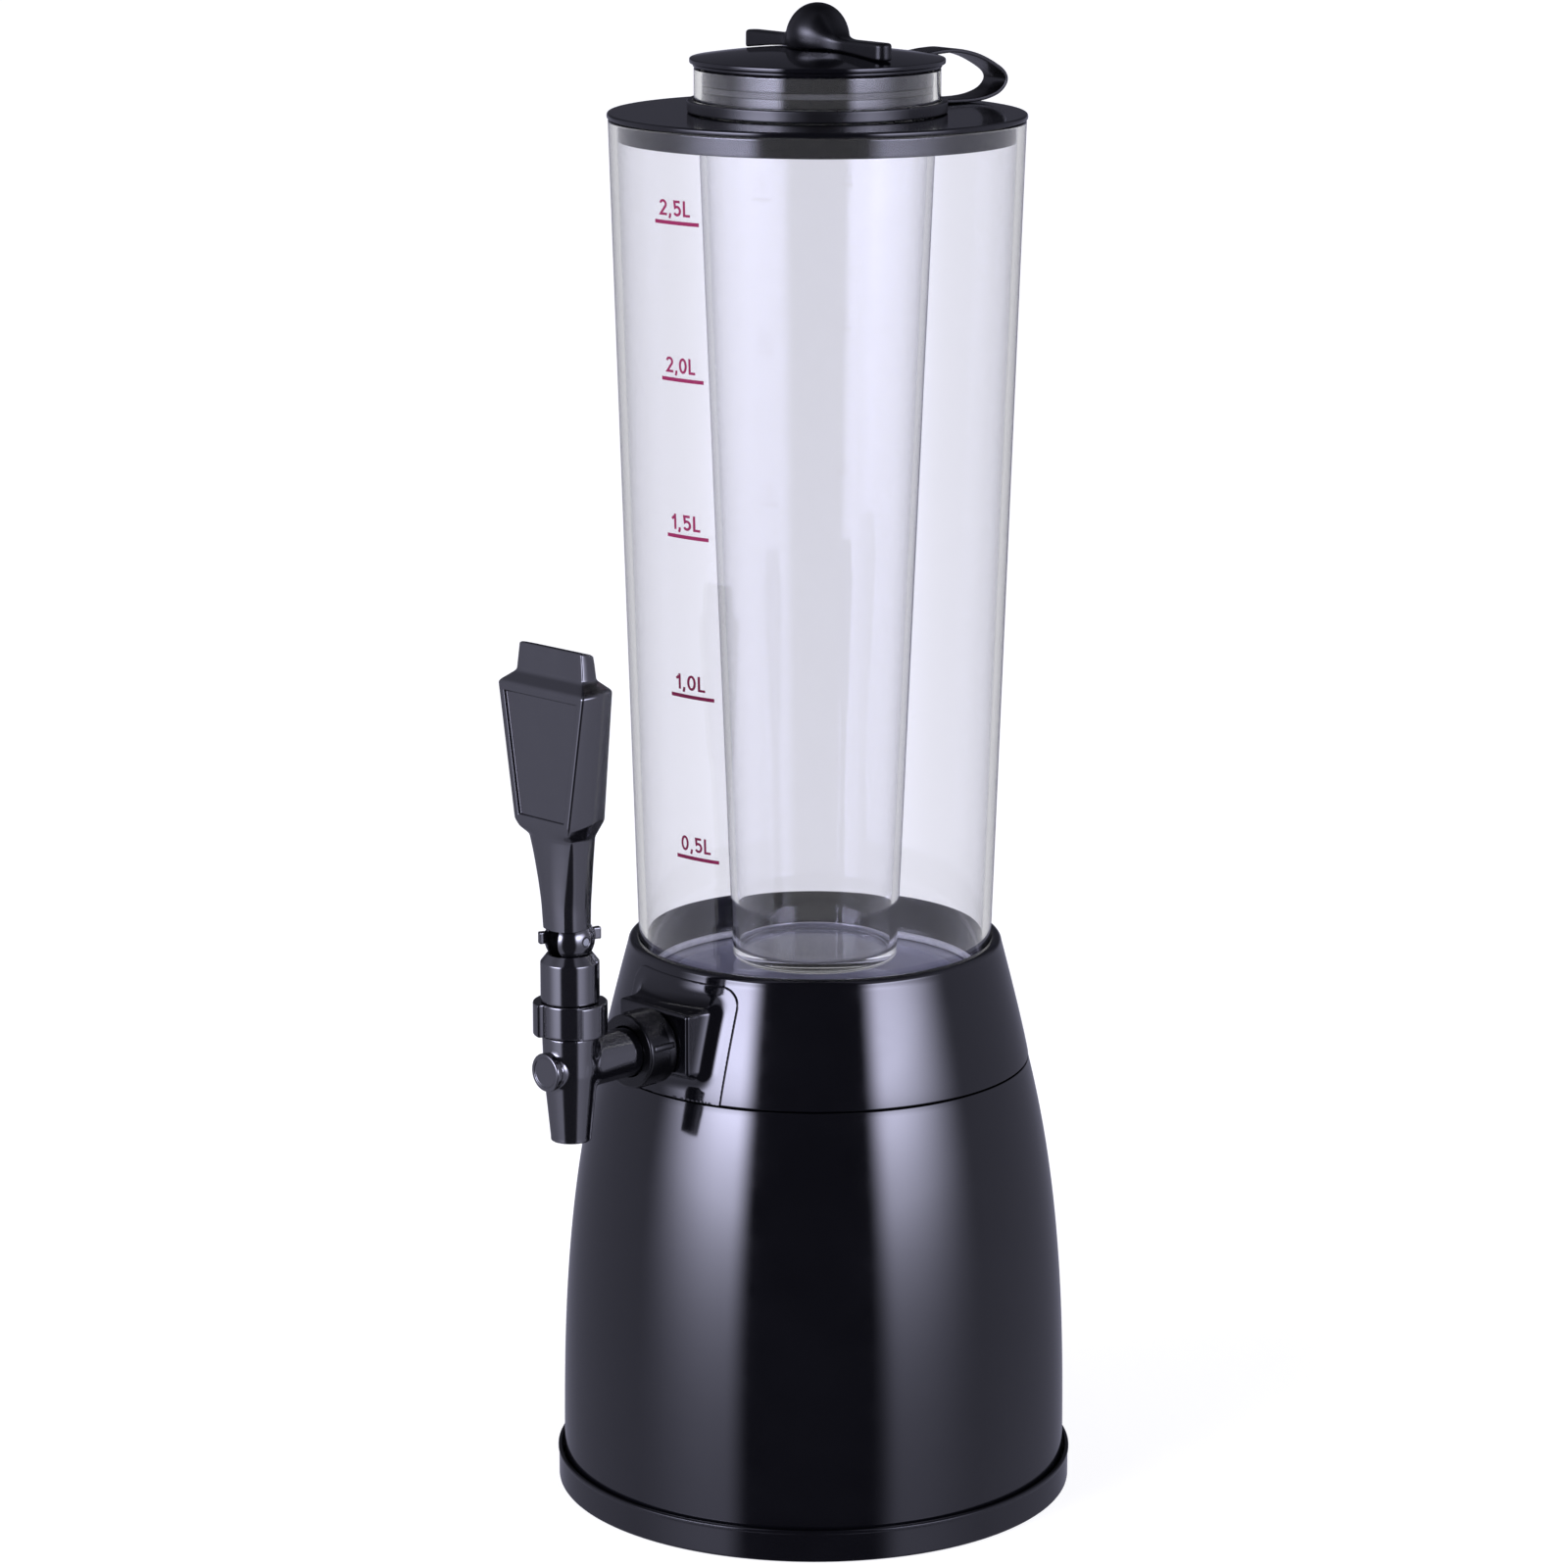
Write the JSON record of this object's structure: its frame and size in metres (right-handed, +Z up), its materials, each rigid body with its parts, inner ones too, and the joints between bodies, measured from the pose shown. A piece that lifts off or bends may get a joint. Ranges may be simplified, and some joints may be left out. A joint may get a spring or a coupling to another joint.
{
  "type": "beer tower dispenser",
  "caption": "Table drinks tower: clear tapered tank with a hanging ice tube and tethered cap, on a bell-shaped black base with a lever tap at its front",
  "frame": {"origin": "Centre of the non-slip mat's underside, on the tower's axis, at the table", "axes": "+Z up along the tower's axis; the tap points along -Y; +X is to the right of someone who faces the tap"},
  "size_m": [0.1806, 0.2173, 0.5163],
  "materials": {
    "gloss_black": "gloss black moulded plastic",
    "tap_black": "semi-gloss black moulded plastic",
    "lever_black": "semi-gloss black moulded plastic",
    "knob_black": "gloss black moulded plastic",
    "strap_black": "pliant black plastic",
    "clear_tank": "clear moulded plastic",
    "clear_tube": "clear moulded plastic",
    "seal_rubber": "grey silicone rubber",
    "mat_rubber": "black rubber",
    "screw_steel": "zinc-plated steel"
  },
  "bodies": {
    "tower": {"base_tray": "gloss_black", "non_slip_mat": "mat_rubber", "base_screw_1": "screw_steel", "base_screw_2": "screw_steel", "base_screw_3": "screw_steel", "base_screw_4": "screw_steel", "lower_casing": "gloss_black", "upper_casing": "gloss_black", "drain_bowl": "gloss_black", "outlet_seal": "seal_rubber", "tank_gasket": "seal_rubber", "tank": "clear_tank", "union_nut": "tap_black", "shank_washer": "seal_rubber", "tap_body": "tap_black", "front_plug": "tap_black", "plug_seal": "mat_rubber", "bonnet_seal": "seal_rubber", "bonnet": "tap_black", "bonnet_nut": "tap_black", "pivot_pin": "screw_steel"},
    "lid": {"lid": "gloss_black", "ice_tube": "clear_tube", "cap_strap": "strap_black"},
    "cap": {"cap": "gloss_black", "cap_seal": "seal_rubber", "cap_handle": "knob_black"},
    "lever": {"lever": "lever_black"},
    "valve_stem": {"valve_stem": "tap_black", "stem_seal": "mat_rubber", "valve_washer": "mat_rubber"}
  },
  "joints": [
    {"name": "lid_lift", "type": "slide", "parent": "tower", "child": "lid", "axis": [0, 0, 1], "range_m": [0, 0.3]},
    {"name": "cap_lift", "type": "slide", "parent": "lid", "child": "cap", "axis": [0, 0, 1], "range_m": [0, 0.03], "deforming": ["cap_strap"]},
    {"name": "lever_pull", "type": "hinge", "parent": "tower", "child": "lever", "pos_m": [0, -0.1145, 0.216], "axis": [1, 0, 0], "range_deg": [0, 28]},
    {"name": "valve_lift", "type": "slide", "parent": "tower", "child": "valve_stem", "axis": [0, 0, 1], "range_m": [0, 0.0026]}
  ],
  "couplings": [
    {"joint": "valve_lift", "follows": "lever_pull", "m_per_rad": 0.00503}
  ]
}
